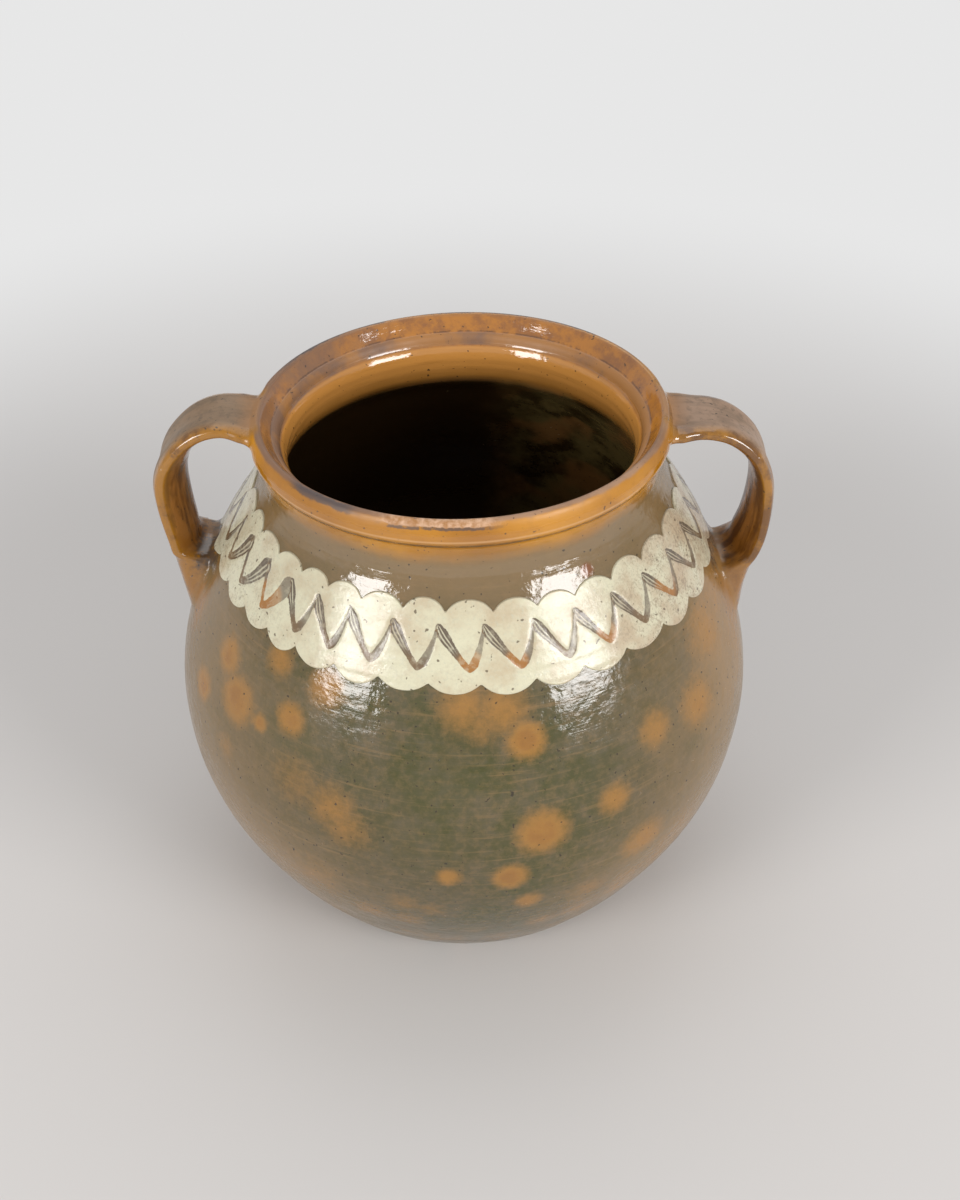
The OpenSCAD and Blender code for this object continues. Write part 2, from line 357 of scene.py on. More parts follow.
# The strap handles. The points of "strap" follow its middle: distance from the axis, height, thickness
# and how far the inner face bulges, in millimetres. Those of "foot" follow the outer face: distance,
# height and how much of the gap behind it the clay fills
strapForm = {
    "left": {
        "side": -1,
        "strap": [(112.2, 316.6, 6.5, 0), (115.5, 318.4, 8, 0), (119.5, 319.9, 8.8, 0), (126, 321.6, 8.8, 0),
                  (134, 322.3, 8.8, 0), (143, 320.2, 8.9, 0.3), (151.2, 315.6, 9, 1.8),
                  (158.1, 309.2, 9.1, 4), (163.9, 301.6, 9.2, 6), (167.9, 293, 9.3, 7.4),
                  (169.5, 284, 9.4, 8), (169.2, 273, 9.4, 8), (168, 262, 9.3, 7.6),
                  (166.3, 251.5, 9.1, 7), (165.5, 246, 9, 6.5)],
        "foot": [(169.8, 244, 0), (169.5, 241.8, 0.05), (169.2, 240, 0.28), (169, 238.8, 0.6),
                 (168.8, 237.8, 0.9), (168.6, 236.4, 1), (167.6, 229, 1), (166.6, 222, 1), (165.6, 214.5, 1),
                 (164.7, 208, 1), (163.9, 202, 1), (161.5, 193.5, 1)],
    },
    "right": {
        "side": 1,
        "strap": [(108.5, 319, 7.6, 0), (113, 319.5, 8.8, 0), (119, 319.7, 9, 0), (128, 319.8, 8.8, 0),
                  (137, 319.3, 8.8, 0), (146, 316.8, 8.9, 0.2), (154.2, 311.8, 9.1, 0.5),
                  (161, 305.2, 9.3, 1), (166.2, 296.8, 9.4, 1.3), (169.6, 287, 9.5, 1.6),
                  (171.1, 276, 9.6, 2), (171.3, 263, 9.6, 3.2), (170.3, 250, 9.5, 4.8), (168.3, 241, 9.4, 6)],
        "foot": [(172.4, 239, 0), (171.7, 236.6, 0.04), (171, 234.2, 0.18), (170.3, 231.8, 0.42),
                 (169.7, 229.8, 0.72), (169.2, 228.4, 1), (168, 223.8, 1), (167, 218.5, 1), (166.3, 213, 1),
                 (166, 207, 1), (165.8, 200, 1), (163.8, 190, 1)],
    },
    "width": 42,
    "footWidth": 48,    # of the outer face where it runs into the wall
    "rootWidth": 52,
    "smear": 18,        # how much wider the clay behind that face is smeared out
    "tongue": 1.3,      # how far the foot's sides drop back, so that it ends in a rounded tongue
    "channel": 0.7,     # depth of the finger channel down the outer face
    "channelHalf": 0.62,    # of the strap's half width
    "ridge": 0.35,      # height of the two ridges beside it
    "ridgeAt": 0.66,
    "ridgeHalf": 0.1,
    "squareness": 0.62,     # of the section: 1 is an ellipse, less is squarer
    "rootFrom": 112, "rootTo": 132, "rootRings": 14,    # where the wider root narrows to the strap
    "sunk": 5,          # how deep the foot reaches into the wall
    "rings": 1.9,       # spacing of the rings along the strap
    "around": 56,
}


def wallRadius(height):
    outside = wallPoints[:np.argmax(wallPoints[:, 1])]
    return np.interp(height, outside[:, 1], outside[:, 0])


def strapSection(form, width, half, bulge):
    turn = np.linspace(0, math.tau, form["around"], endpoint=False)
    along = np.sign(np.cos(turn)) * abs(np.cos(turn)) ** form["squareness"] * width / 2
    out = np.sign(np.sin(turn)) * abs(np.sin(turn)) ** form["squareness"] * half
    share = abs(along) / (width / 2)
    dip = -form["channel"] * np.cos(np.clip(share / form["channelHalf"], 0, 1) * math.pi / 2) ** 2
    dip += form["ridge"] * np.exp(-((share - form["ridgeAt"]) / form["ridgeHalf"]) ** 2)
    inward = bulge * (1 - share ** 2) * smoothstep(-out / half, 0.1, 0.9)
    return along, out - inward + dip * smoothstep(out / half, 0.3, 0.9)


def spacedLine(points, step):
    line = drawLine(points)
    steps = travel(line)
    stops = np.linspace(0, steps[-1], round(steps[-1] / step) + 1)
    return np.stack([np.interp(stops, steps, line[:, k]) for k in range(line.shape[1])], axis=1)


def strapMesh(form, which):
    part = form[which]
    strap = spacedLine(part["strap"], form["rings"])
    ahead = directions(strap)
    rings = []
    for i, (x, z, thick, bulge) in enumerate(strap):
        wider = (1 - smoothstep(x, form["rootFrom"], form["rootTo"])) * (i < form["rootRings"])
        width = form["width"] + (form["rootWidth"] - form["width"]) * wider
        along, out = strapSection(form, width, thick / 2, bulge)
        outX, outZ = -ahead[i, 1], ahead[i, 0]
        rings.append(np.stack([x + out * outX, along, z + out * outZ], axis=1))
    foot = spacedLine(part["foot"], form["rings"])
    for i, (face, z, filled) in enumerate(foot):
        share = i / (len(foot) - 1)
        spread = smoothstep(share, 0, 0.8)
        width = form["width"] + (form["footWidth"] - form["width"]) * spread
        filled = min(max(filled, 0), 1)
        back = (face - strap[-1, 2]) * (1 - filled) + (wallRadius(z) - form["sunk"]) * filled
        half = (face - back) / 2
        along, out = strapSection(form, width, half, strap[-1, 3] * (1 - filled))
        along *= 1 + form["smear"] / width * smoothstep(share, -0.1, 0.75) * ((half - out) / (2 * half)) ** 2
        radius = wallRadius(z)
        drop = radius - np.sqrt(radius ** 2 - along ** 2) + form["tongue"] * (2 * along / form["width"]) ** 2
        away = (face + back) / 2 + out - drop * spread
        rings.append(np.stack([away, along, np.full_like(along, z)], axis=1))
    count = form["around"]
    faces = []
    for r in range(0, (len(rings) - 1) * count, count):
        for i in range(count):
            after = (i + 1) % count
            faces.append((r + i, r + after, r + count + after, r + count + i))
    last = (len(rings) - 1) * count
    faces += [tuple(range(count - 1, -1, -1)), tuple(range(last, last + count))]
    places = np.vstack(rings) * mm
    places[:, 0] *= part["side"]
    mesh = bpy.data.meshes.new(which + "Strap")
    mesh.from_pydata([tuple(p) for p in places], [], faces)
    tidy = bmesh.new()
    tidy.from_mesh(mesh)
    bmesh.ops.recalc_face_normals(tidy, faces=tidy.faces)
    tidy.to_mesh(mesh)
    tidy.free()
    return mesh


# The seams: how far from them the clay is smoothed, by how much each time and how often
seamForm = {"reach": 8.5 * mm, "pull": 0.6, "rounds": 38, "longEdge": 1.7 * mm, "merge": 0.04 * mm}


def pressOn(mesh, straps):
    body = addObject("bodyDraft", mesh)
    before = searchTree(np.vstack([coordinates(m) for m in (mesh, *straps)]))
    tools = []
    for strap in straps:
        tool = addObject(strap.name, strap)
        union = body.modifiers.new("union", "BOOLEAN")
        union.operation, union.solver, union.object = "UNION", "MANIFOLD", tool
        tools.append(tool)
    bpy.context.view_layer.update()
    joined = bpy.data.meshes.new_from_object(body.evaluated_get(bpy.context.evaluated_depsgraph_get()))
    for tool in tools:
        bpy.data.objects.remove(tool)
    bpy.data.objects.remove(body)
    return joined, before


def softenSeam(mesh, before, form):
    seam = [v.co.copy() for v in mesh.vertices if before.find(v.co)[2] > 1e-6]
    tree = searchTree(seam)
    reach = form["reach"]
    work = bmesh.new()
    work.from_mesh(mesh)
    bmesh.ops.remove_doubles(work, verts=work.verts, dist=form["merge"])
    near = [e for e in work.edges
            if e.calc_length() > form["longEdge"] and all(tree.find(v.co)[2] < reach for v in e.verts)]
    bmesh.ops.subdivide_edges(work, edges=near, cuts=1, use_grid_fill=True)
    bmesh.ops.triangulate(work, faces=[f for f in work.faces if len(f.verts) > 4])
    work.to_mesh(mesh)
    work.free()
    places = coordinates(mesh)
    ends = np.empty(len(mesh.edges) * 2, dtype=np.int32)
    mesh.edges.foreach_get("vertices", ends)
    a, b = ends.reshape(-1, 2).T
    distance = np.array([tree.find(p)[2] for p in places])
    weight = (1 - smoothstep(distance, 0.5 * mm, reach))[:, None] * form["pull"]
    count = np.bincount(np.concatenate([a, b]), minlength=len(places))[:, None]
    for _ in range(form["rounds"]):
        total = np.zeros_like(places)
        np.add.at(total, a, places[b])
        np.add.at(total, b, places[a])
        places += weight * (total / count - places)
    setCoordinates(mesh, places)
    return len(seam)


straps = [strapMesh(strapForm, which) for which in ("left", "right")]
potMesh, beforeJoin = pressOn(bodyMesh, straps)
seamPoints = softenSeam(potMesh, beforeJoin, seamForm)
print("handles joined:", seamPoints, "points along the seams,", len(potMesh.polygons), "faces")
pot = addObject("potBody", potMesh)
potMesh.materials.clear()
potMesh.materials.append(potGlaze)
potMesh.polygons.foreach_set("use_smooth", [True] * len(potMesh.polygons))


# Plain stage and soft studio light
stageLook = {
    "floorSize": 9.0,
    "floor": (0.62, 0.603, 0.59),
    "backdrop": (0.80, 0.80, 0.80),
    "fadeFrom": 0.45,
    "fadeTo": 1.1,
    "world": (0.48, 0.48, 0.485),
    "aim": 0.2,         # height that the lamps point at
    "windows": [        # azimuth from the front, height angle, width, height, distance, brightness, colour
        ("leftWindow", -47, 21, 0.80, 1.1, 2.3, 10.0, (1.0, 0.985, 0.97)),
        ("rightWindow", 48, 21, 0.94, 1.1, 2.3, 10.0, (1.0, 0.99, 0.98)),
        ("softTop", 180, 62, 2.2, 2.2, 2.4, 0.9, (1.0, 1.0, 1.0)),
    ],
}


def makeStage(look):
    half = look["floorSize"] / 2
    mesh = bpy.data.meshes.new("studioFloor")
    corners = [(-half, -half, 0), (half, -half, 0), (half, half, 0), (-half, half, 0)]
    mesh.from_pydata(corners, [], [(0, 1, 2, 3)])
    floor = addObject("studioFloor", mesh)
    material = bpy.data.materials.new("studioFloor")
    tree = startTree(material)
    place = put(tree, "ShaderNodeTexCoord").outputs["Object"]
    away = vectorMath("LENGTH", place)
    paper = put(tree, "ShaderNodeBsdfDiffuse", {0: (*look["floor"], 1)}).outputs[0]
    glow = put(tree, "ShaderNodeEmission", {0: (*look["backdrop"], 1)}).outputs[0]
    path = put(tree, "ShaderNodeLightPath").outputs
    seen = most(path["Is Camera Ray"], path["Is Glossy Ray"])
    fade = times(ramp(away, look["fadeFrom"], look["fadeTo"]), seen)
    mixed = put(tree, "ShaderNodeMixShader", {0: fade, 1: paper, 2: glow}).outputs[0]
    put(tree, "ShaderNodeOutputMaterial", {0: mixed})
    mesh.materials.append(material)
    world = bpy.data.worlds.new("studioWorld")
    bpy.context.scene.world = world
    tree = startTree(world)
    path = put(tree, "ShaderNodeLightPath").outputs
    ambient = put(tree, "ShaderNodeBackground", {0: (*look["world"], 1), 1: 1.0}).outputs[0]
    shown = put(tree, "ShaderNodeBackground", {0: (*look["backdrop"], 1), 1: 1.0}).outputs[0]
    mixed = put(tree, "ShaderNodeMixShader", {0: path["Is Camera Ray"], 1: ambient, 2: shown}).outputs[0]
    put(tree, "ShaderNodeOutputWorld", {0: mixed})
    for name, azimuth, height, width, tall, distance, bright, colour in look["windows"]:
        lamp = bpy.data.lights.new(name, "AREA")
        lamp.shape, lamp.size, lamp.size_y = "RECTANGLE", width, tall
        lamp.energy = bright * math.pi * width * tall
        lamp.color = colour
        a, e = math.radians(azimuth), math.radians(height)
        away = Vector((math.sin(a) * math.cos(e), -math.cos(a) * math.cos(e), math.sin(e)))
        holder = addObject(name, lamp)
        holder.location = Vector((0, 0, look["aim"])) + away * distance
        holder.rotation_euler = (-away).to_track_quat("-Z", "Y").to_euler()


makeStage(stageLook)
view = bpy.context.scene.view_settings
view.view_transform = "Standard"
print("stage and lamps set")


# The slip band: where its edges and the zigzag wiped through it lie, in degrees round the pot
# from the front (to the right is plus) and millimetres up
bandForm = {
    "upperNotches": [
        -74.8, -65.6, -54.6, -44.6, -35.5, -25.8, -15.0, -4.6, 6.9, 17.8, 27.8, 39.0, 50.6, 62.5, 75.2],
    "lowerNotches": [
        -79.0, -68.2, -57.8, -48.4, -39.2, -28.7, -18.5, -7.7, 3.4, 15.1, 26.1, 37.1, 49.1, 60.8, 72.8],
    "zigzagTops": [
        -77.3, -67.5, -56.5, -46.7, -37.6, -28.0, -17.1, -6.3, 4.4, 16.1, 26.5, 37.5, 48.6, 60.5, 73.0,
        84.4],
    "zigzagFeet": [
        -73.9, -63.6, -52.6, -40.6, -30.9, -20.8, -10.2, 1.1, 12.3, 23.3, 33.8, 44.6, 56.9, 68.8, 80.8],
    "pitch": 10.95,           # on the side that the camera doesn't see
    "unevenness": 0.7,
    "upperTip": 284.2, "upperNotch": 278.6, "upperFullness": 1.1,
    "lowerTip": 241.8, "lowerNotch": 247.2, "lowerFullness": 1.3,
    "zigzagTop": 273.6, "zigzagFoot": 254.4, "footAt": 0.64, "lastHalf": 0.5,
    "columns": 900,
    "sizes": {"Pot": pot, "Rows": 52, "Thickness": 0.7 * mm, "Sunk": 0.8 * mm, "Rounding": 0.8 * mm,
              "Start Radius": 0.1485, "Material": slipGlaze},
    "lift": 0.04 * mm,       # off the wall at its edges
    "merge": 0.01 * mm,
    "rayLength": 0.1,
    "crowding": 0.08,        # of the rows at the edges
    "tipUnevenness": 0.9,
    "unrolledRadius": 133, "unrolledMiddle": 263, "unrolledStretch": 1.2,   # the shoulder laid flat
    "strokeReach": 12, "farAway": 99.0,     # how far from a stroke it is looked for, in millimetres
    "rim": 0.6,              # along the edges, left unwiped
    "wipedLeft": 0.5,        # share of the slip's thickness left under the wiped line
    "seed": 11,
}


def evenRound(marks, form, rng):
    gap = marks[0] + 360 - marks[-1]
    count = round(gap / form["pitch"])
    others = marks[-1] + gap * np.arange(1, count) / count
    return np.concatenate([marks, others + rng.uniform(-1, 1, count - 1) * form["unevenness"]])


def scallopEdge(which, form, notches, rng):
    notch, tip, fullness = form[which + "Notch"], form[which + "Tip"], form[which + "Fullness"]
    unevenness = form["tipUnevenness"]
    angles = notches[0] + (bandAngles - notches[0]) % 360
    marks = np.concatenate([notches[-2:] - 360, notches, notches[:2] + 360])
    k = np.searchsorted(marks, angles) - 1
    share = 2 * (angles - marks[k]) / (marks[k + 1] - marks[k]) - 1
    low = math.sqrt(fullness ** 2 - 1)
    rise = (np.sqrt(fullness ** 2 - share ** 2) - low) / (fullness - low)
    tips = tip + rng.uniform(-unevenness, unevenness, len(marks))
    return notch + (tips[k] - notch) * rise


def bandTree(form):
    tree, given = newGeometryTree("slipBand", form["sizes"])
    line, rows = given["Geometry"], given["Rows"]
    columns = put(tree, "GeometryNodeAttributeDomainSize", {0: line}).outputs[0]
    perColumn = plus(rows, 3.0)
    grid = put(tree, "GeometryNodeMeshGrid", {2: columns, 3: perColumn})
    column, row = gridPlace(tree, perColumn)

    def fromLine(label):
        value = put(tree, "GeometryNodeInputNamedAttribute", {0: label}, data_type="FLOAT").outputs[0]
        return put(tree, "GeometryNodeSampleIndex", {0: line, 1: value, 2: column},
                   data_type="FLOAT").outputs[0]

    # rows rise over the band, crowded at its edges; the three after them turn under and close it
    top, low, angle = fromLine("topEdge"), fromLine("lowEdge"), fromLine("angle")
    share = least(over(row, minus(rows, 1.0)), 1.0)
    share = minus(share, times(compute("SINE", times(share, math.tau)), form["crowding"]))
    share = times(share, compute("LESS_THAN", row, plus(rows, 0.5)))
    tall = minus(top, low)
    height = plus(low, times(tall, share))
    away = joinXyz(tree, compute("SINE", angle), times(compute("COSINE", angle), -1.0), 0.0)
    start = vectorMath("SCALE", away, given["Start Radius"])
    start = vectorMath("ADD", start, joinXyz(tree, 0.0, 0.0, height))
    wall = put(tree, "GeometryNodeObjectInfo", {0: given["Pot"]}).outputs["Geometry"]
    ray = put(tree, "GeometryNodeRaycast",
              {0: wall, 2: start, 3: vectorMath("SCALE", away, -1.0), 4: form["rayLength"]}).outputs
    edge = times(least(share, rest(share)), tall)
    inset = rest(least(over(edge, given["Rounding"]), 1.0))
    rounded = compute("SQRT", rest(times(inset, inset)))
    out = plus(times(rounded, given["Thickness"]), form["lift"])
    under = times(compute("GREATER_THAN", row, minus(rows, 0.5)), compute("LESS_THAN", row, plus(rows, 1.5)))
    out = minus(out, times(under, plus(out, given["Sunk"])))
    laid = vectorMath("ADD", ray[1], vectorMath("SCALE", ray[2], out))
    placed = put(tree, "GeometryNodeSetPosition", {0: grid.outputs[0], 2: laid})
    closed = put(tree, "GeometryNodeMergeByDistance", {0: placed.outputs[0], 2: form["merge"]})
    endTree(tree, closed.outputs[0], given["Material"])
    return tree


rng = np.random.default_rng(bandForm["seed"])
bandAngles = np.linspace(-180, 180, bandForm["columns"] + 1)
upperNotches = evenRound(bandForm["upperNotches"], bandForm, rng)
lowerNotches = evenRound(bandForm["lowerNotches"], bandForm, rng)
topEdge = scallopEdge("upper", bandForm, upperNotches, rng)
lowEdge = scallopEdge("lower", bandForm, lowerNotches, rng)
topEdge[-1], lowEdge[-1] = topEdge[0], lowEdge[0]
bandMesh = grow(bandTree, bandForm, [(a * mm, 0, 0) for a in bandAngles], topEdge=topEdge * mm,
                lowEdge=lowEdge * mm, angle=np.radians(bandAngles))
print("slip band laid:", len(bandMesh.polygons), "faces")


# The stroke of the zigzag between one top and the next: share along, share of its height and half
# its width in millimetres
strokeForm = [(0.00, 1.00, 0.7), (0.03, 0.95, 1.9), (0.10, 0.81, 3.0), (0.20, 0.65, 2.9), (0.33, 0.45, 2.1),
              (0.46, 0.25, 1.7), (0.58, 0.07, 1.7), (0.66, 0.00, 1.9), (0.74, 0.10, 2.3), (0.83, 0.30, 2.0),
              (0.91, 0.55, 1.4), (0.97, 0.80, 0.9), (1.00, 1.00, 0.7)]
strokeTurn = 0.66   # share along at which the stroke turns at its foot
# Strokes whose foot lies left of "before" degrees go down thin and come up broader and broader
leftStroke = {"before": -50, "half": 1.3, "risingHalf": 5.8, "atFoot": 0.35}


def zigzagPath(form, rng):
    tops = evenRound(form["zigzagTops"], form, rng)
    feet = np.asarray(form["zigzagFeet"])
    points = []
    for k, top in enumerate(tops):
        after = tops[k + 1] if k + 1 < len(tops) else tops[0] + 360
        foot = feet[k] if k < len(feet) else top + (after - top) * form["footAt"]
        for along, up, half in strokeForm[:-1]:
            rising = max(along - strokeTurn, 0) / (1 - strokeTurn)
            angle = top + (foot - top) * min(along / strokeTurn, 1) + (after - foot) * rising
            if foot < leftStroke["before"] and along < strokeTurn:
                half = leftStroke["half"]
            elif foot < leftStroke["before"]:
                half = leftStroke["risingHalf"] * (leftStroke["atFoot"] + (1 - leftStroke["atFoot"]) * up)
            height = form["zigzagFoot"] + (form["zigzagTop"] - form["zigzagFoot"]) * up
            points.append((angle, height, half, along))
    points.append((tops[0] + 360, form["zigzagTop"], form["lastHalf"], 1.0))
    return np.array(points)


def unrolled(angles, heights, form):
    upward = (np.asarray(heights) - form["unrolledMiddle"]) * form["unrolledStretch"]
    return np.stack([np.radians(angles) * form["unrolledRadius"], upward], axis=-1)


def strokeDistance(angles, heights, path, form):
    places = unrolled(angles, heights, form)
    nodes = unrolled(path[:, 0], path[:, 1], form)
    best = np.full(len(angles), form["farAway"])
    along, across = np.zeros(len(angles)), np.zeros(len(angles))
    for k in range(len(nodes) - 1):
        a, b = nodes[k], nodes[k + 1]
        close = np.nonzero(abs(places[:, 0] - (a[0] + b[0]) / 2) < form["strokeReach"])[0]
        step = b - a
        gap = places[close] - a
        share = np.clip(gap @ step / (step @ step), 0, 1)
        miss = gap - share[:, None] * step
        missLength = np.linalg.norm(miss, axis=1)
        half = path[k, 2] + (path[k + 1, 2] - path[k, 2]) * share
        away = missLength - half
        nearer = away < best[close]
        pick = close[nearer]
        best[pick] = away[nearer]
        side = np.sign(step[0] * miss[:, 1] - step[1] * miss[:, 0]) * missLength / half
        across[pick] = side[nearer]
        along[pick] = (path[k, 3] + (path[k + 1, 3] - path[k, 3]) * share)[nearer]
    return best, along, across


# Ochre spots where the glaze breaks: degrees round, height, half width, softness and strength
glazeSpots = [
    (-57.1, 220, 10.5, 0.5, 0.9), (-63.7, 190, 9.5, 0.5, 0.9), (-50.7, 203, 13.5, 0.5, 0.95),
    (-42.1, 237, 9, 0.6, 0.75), (-36.1, 212, 9, 0.5, 0.95), (-43.2, 201, 5.2, 0.4, 0.9),
    (-29.2, 235, 11, 0.6, 0.85), (-52.1, 170, 8.5, 0.7, 0.5), (-24.9, 172, 14.5, 0.8, 0.65),
    (-21.9, 161, 14, 0.8, 0.6), (12.0, 218, 10, 0.45, 1.0), (-0.5, 236, 13, 0.8, 0.8),
    (7.5, 235, 13, 0.8, 0.8), (3.0, 228, 11, 0.9, 0.6), (39.1, 202, 11, 0.6, 0.75),
    (52.5, 198, 15, 0.7, 0.8), (62.7, 227, 19, 0.9, 0.75),
    (28.0, 173, 9.5, 0.6, 0.8), (35.2, 131, 14, 0.6, 0.8), (13.9, 165, 14, 0.5, 0.95),
    (8.2, 134, 10, 0.4, 0.95), (12.0, 108, 7.5, 0.5, 0.8), (-3.2, 136, 7, 0.4, 0.9),
    (-12.0, 104, 10, 0.9, 0.5), (-7.0, 101, 9, 0.9, 0.45), (-51.6, 259, 9, 0.4, 1.0),
    (1.2, 257, 5.5, 0.5, 1.0), (11.2, 256, 5.5, 0.5, 1.0), (33.3, 257, 6, 0.5, 0.9),
    (54.4, 260, 8, 0.6, 0.9), (72, 232, 15, 0.9, 0.7),
    (78, 205, 20, 1.0, 0.6), (24, 100, 13, 0.9, 0.45), (35, 92, 14, 0.9, 0.45), (-78, 215, 14, 1.0, 0.5),
    (-20, 86, 12, 1.0, 0.5), (-12, 82, 11, 1.0, 0.5), (2, 68, 8, 1.0, 0.45), (16, 70, 12, 1.0, 0.55),
    (25, 74, 13, 1.0, 0.6), (34, 82, 13, 1.0, 0.6), (43, 92, 13, 1.0, 0.5), (-33, 180, 16, 1.0, 0.45),
    (-30, 110, 20, 1.0, 0.4), (47, 108, 22, 1.0, 0.4),
]
# Those on the back, which the photograph doesn't show, are drawn between these values
backSpots = {"count": 44, "seed": 5, "angle": (92, 262), "height": (60, 250), "half": (5, 16),
             "softness": (0.4, 0.9), "strength": (0.5, 1)}


def onWall(angle, height):
    turn, radius = math.radians(angle), wallRadius(height)
    return np.array([radius * math.sin(turn), -radius * math.cos(turn), height])


def spotShare(places):
    rng = np.random.default_rng(backSpots["seed"])
    ranges = [backSpots[key] for key in ("angle", "height", "half", "softness", "strength")]
    drawn = [[rng.uniform(*span) for span in ranges] for _ in range(backSpots["count"])]
    share = np.zeros(len(places))
    for angle, height, half, soft, strength in glazeSpots + drawn:
        away = np.linalg.norm(places - onWall(angle, height) * mm, axis=1) / (half * mm)
        reach = min(1, soft * 0.8 + 0.36)
        share = np.maximum(share, strength * (1 - smoothstep(away, 1 - reach, 1 + reach)))
    return share


# Where the look changes from wall to strap: how far off the wall, and where the roots lie
rootForm = {"proud": (1.2 * mm, 5 * mm), "half": (19 * mm, 29 * mm), "out": (104 * mm, 110 * mm),
            "height": (0.308, 0.314), "outside": (2.5, -0.5), "sideFrom": 0.1, "footShift": 4}


def strapTurn(which, places, normals):
    part = strapForm[which]
    feet = [(p[0] - rootForm["footShift"], p[1]) for p in part["foot"]]
    guide = drawLine([p[:2] for p in part["strap"]] + feet)
    ahead = directions(guide)
    spots = np.stack([abs(places[:, 0]), places[:, 2]], axis=1) / mm
    pick = np.argmin(((spots[:, None] - guide[None]) ** 2).sum(axis=2), axis=1)
    return -ahead[pick, 1] * normals[:, 0] * part["side"] + ahead[pick, 0] * normals[:, 2]


def markPot(mesh, body, root):
    places, normals = coordinates(mesh), coordinates(mesh, "normal")
    outX, outY = abs(places[:, 0]), abs(places[:, 1])
    travelled = travel(wallPoints)
    travelled -= travelled[np.argmax(wallPoints[:, 1])]
    fine = np.linspace(travelled[0], travelled[-1], 2400)
    line = np.stack([np.interp(fine, travelled, wallPoints[:, k]) for k in (0, 1)], axis=1) * mm
    tree = searchTree([(r, z, 0) for r, z in line])
    sizes = body["sizes"]
    tilt = (sizes["Lift Right"] * places[:, 0] - sizes["Lift Front"] * places[:, 1]) / body["rimRadius"]
    level = places[:, 2] - tilt * smoothstep(places[:, 2], *body["tilting"])
    radius = np.hypot(places[:, 0] + sizes["Lean"] * smoothstep(places[:, 2], *body["leaning"]), places[:, 1])
    found = [tree.find((r, z, 0)) for r, z in zip(radius, level)]
    along = fine[[f[1] for f in found]]
    outer = along < 1
    beyond = smoothstep([f[2] for f in found], *root["proud"]) * outer * (outX > root["sideFrom"])
    atRoot = 1 - smoothstep(outY, *root["half"])
    atRoot *= smoothstep(outX, *root["out"]) * smoothstep(places[:, 2], *root["height"])
    beyond = np.maximum(beyond, atRoot * smoothstep(along, *root["outside"]))
    face = np.zeros(len(places))
    for which in ("left", "right"):
        mine = places[:, 0] * strapForm[which]["side"] > root["sideFrom"]
        face[mine] = strapTurn(which, places[mine], normals[mine])
    storeValues(mesh, along=along, strap=beyond, spot=spotShare(places) * outer, strapFace=face,
                strapSide=outY / (strapForm["width"] / 2 * mm))


markPot(potMesh, bodyForm, rootForm)


def markBand(mesh, form):
    places, normals = coordinates(mesh), coordinates(mesh, "normal")
    angles = np.degrees(np.arctan2(places[:, 0], -places[:, 1]))
    heights = places[:, 2] / mm
    path = zigzagPath(form, rng)
    lowest = path[0, 0]
    gap, along, across = strokeDistance(lowest + (angles - lowest) % 360, heights, path, form)
    above = np.interp(angles, bandAngles, topEdge) - heights
    below = heights - np.interp(angles, bandAngles, lowEdge)
    storeValues(mesh, wipe=gap, strokeAlong=along, strokeAcross=across, edgeGap=np.minimum(above, below),
                spot=spotShare(places))
    inside = (above > form["rim"]) & (below > form["rim"])
    dip = (1 - smoothstep(gap, -0.5, 0.5)) * (1 - form["wipedLeft"]) * form["sizes"]["Thickness"] * inside
    facing = (normals * places).sum(axis=1) > 0
    setCoordinates(mesh, places - normals * (dip * facing)[:, None])


markBand(bandMesh, bandForm)
band = addObject("slipBand", bandMesh)
print("glaze spots and strokes marked")


# Short ways to build materials
def readMarks(tree, *names):
    return [put(tree, "ShaderNodeAttribute", attribute_name=name).outputs["Fac"] for name in names]


def blend(share, first, second):
    terms = {0: share}
    for key, value in ((6, first), (7, second)):
        terms[key] = value if isinstance(value, bpy.types.NodeSocket) else (*value, 1)
    return put(share.id_data, "ShaderNodeMix", terms, data_type="RGBA").outputs[2]


# Lays colours over one another. A layer is its share, a named or finished colour and its strength
def coat(colours, under, *layers):
    for share, top, *strength in layers:
        share = times(share, *strength)
        under = blend(share, colours.get(under, under), colours.get(top, top))
    return under


def startMaterial(material):
    tree = startTree(material)
    shader = put(tree, "ShaderNodeBsdfPrincipled")
    shader.inputs["IOR"].default_value = 1.55
    put(tree, "ShaderNodeOutputMaterial", {0: shader.outputs[0]})
    return tree, shader, put(tree, "ShaderNodeTexCoord").outputs["Object"]


def finishMaterial(shader, colour, rough, height, strength, distance):
    tree = shader.id_data
    bump = put(tree, "ShaderNodeBump", {"Height": height, "Strength": strength, "Distance": distance})
    for name, value in (("Base Color", colour), ("Roughness", rough), ("Normal", bump.outputs[0])):
        tree.links.new(value, shader.inputs[name])


def between(value, low, high, soft):
    return times(ramp(value, low - soft, low + soft), ramp(value, high + soft, high - soft))


def shaken(value, shake, amount):
    return plus(value, times(minus(shake, 0.5), amount))


def frayed(value, shake, amount, low, high):
    return ramp(shaken(value, shake, amount), low, high)


def stretched(place, x, y, z):
    return vectorMath("MULTIPLY", place, (x, y, z))


